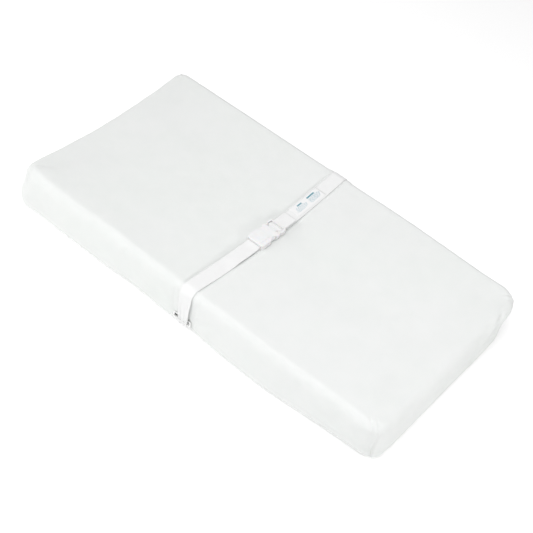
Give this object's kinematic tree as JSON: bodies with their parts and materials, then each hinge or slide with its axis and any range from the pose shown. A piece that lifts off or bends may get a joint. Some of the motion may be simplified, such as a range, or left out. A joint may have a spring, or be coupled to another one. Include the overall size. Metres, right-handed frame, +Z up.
{
  "type": "changing pad",
  "caption": "Contoured changing pad with raised long sides, a fitted white fabric cover and a webbing safety strap that closes with a side release buckle.",
  "frame": {"origin": "under the middle of the pad, on the surface that it lies on", "axes": "+X along the pad, +Y across it from the socket's side to the plug's side, +Z up"},
  "size_m": [0.813, 0.4372, 0.0948],
  "materials": {
    "foam": "open-cell foam",
    "liner": "wipe-clean vinyl film",
    "base_sheet": "dotted non-slip sheet",
    "cover": "brushed knitted cotton",
    "elastic": "ribbed elastic",
    "webbing": "flat woven webbing",
    "label": "satin ribbon with printed bars",
    "thread": "twisted thread",
    "buckle": "satin moulded plastic"
  },
  "bodies": {
    "pad": {"foam_core": "foam", "liner_top": "liner", "liner_base": "base_sheet", "liner_seam_tape": "liner", "cover": "cover", "hem_elastic": "elastic", "corner_seams": "cover", "slit_binding_near": "thread", "slit_binding_far": "thread", "strap_near": "webbing", "strap_far": "webbing", "care_label": "label", "box_stitch_near": "thread", "box_stitch_far": "thread", "bartack_near": "thread", "label_stitches": "thread", "buckle_socket": "buckle"},
    "plug": {"buckle_plug": "buckle", "strap_loop": "webbing"},
    "prong_left": {"prong_left": "buckle"},
    "prong_right": {"prong_right": "buckle"}
  },
  "joints": [
    {"name": "buckle_release", "type": "slide", "parent": "pad", "child": "plug", "axis": [0, 1, 0], "range_m": [0, 0.03]},
    {"name": "prong_left_flex", "type": "hinge", "parent": "plug", "child": "prong_left", "pos_m": [-0.0105, 0.0104, 0.0821], "axis": [0, 0, 1], "range_deg": [0, 7], "stiffness_Nm_per_rad": 0.5},
    {"name": "prong_right_flex", "type": "hinge", "parent": "plug", "child": "prong_right", "pos_m": [0.0105, 0.0104, 0.0821], "axis": [0, 0, -1], "range_deg": [0, 7], "stiffness_Nm_per_rad": 0.5}
  ]
}
